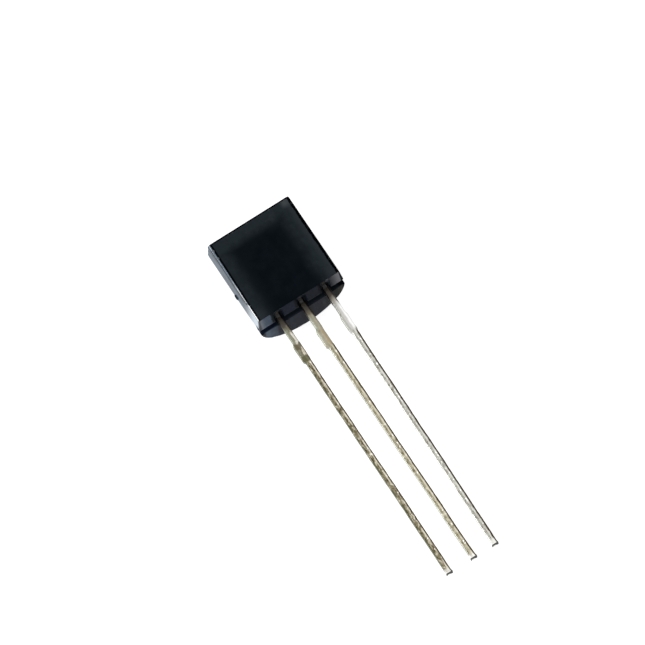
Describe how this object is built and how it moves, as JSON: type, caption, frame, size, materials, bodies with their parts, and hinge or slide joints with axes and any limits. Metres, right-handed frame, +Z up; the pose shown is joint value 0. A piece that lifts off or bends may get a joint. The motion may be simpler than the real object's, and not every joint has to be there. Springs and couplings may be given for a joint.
{
  "type": "transistor",
  "caption": "Small through-hole transistor: black moulded case with a flat front and a round back, on straight thin stamped leads.",
  "frame": {"origin": "middle of the underside of the box around the part, which lies flat face up on its lead tips and on the lead end of its round back", "axes": "+Z up from the surface it lies on; +Y the way from the lead tips to the case; +X across the flat face, from the emitter lead to the collector lead"},
  "size_m": [0.0046, 0.0192, 0.0043],
  "materials": {
    "case": "satin moulded epoxy",
    "lead_tin": "dull tin plating on stamped strip",
    "silicon": "polished silicon",
    "silver_epoxy": "cured silver-filled epoxy",
    "gold_wire": "drawn gold wire"
  },
  "bodies": {
    "root": {"case": "case", "emitter_lead": "lead_tin", "base_lead": "lead_tin", "collector_lead": "lead_tin", "die": "silicon", "die_attach": "silver_epoxy", "emitter_bond_wire": "gold_wire", "base_bond_wire": "gold_wire"}
  },
  "joints": []
}
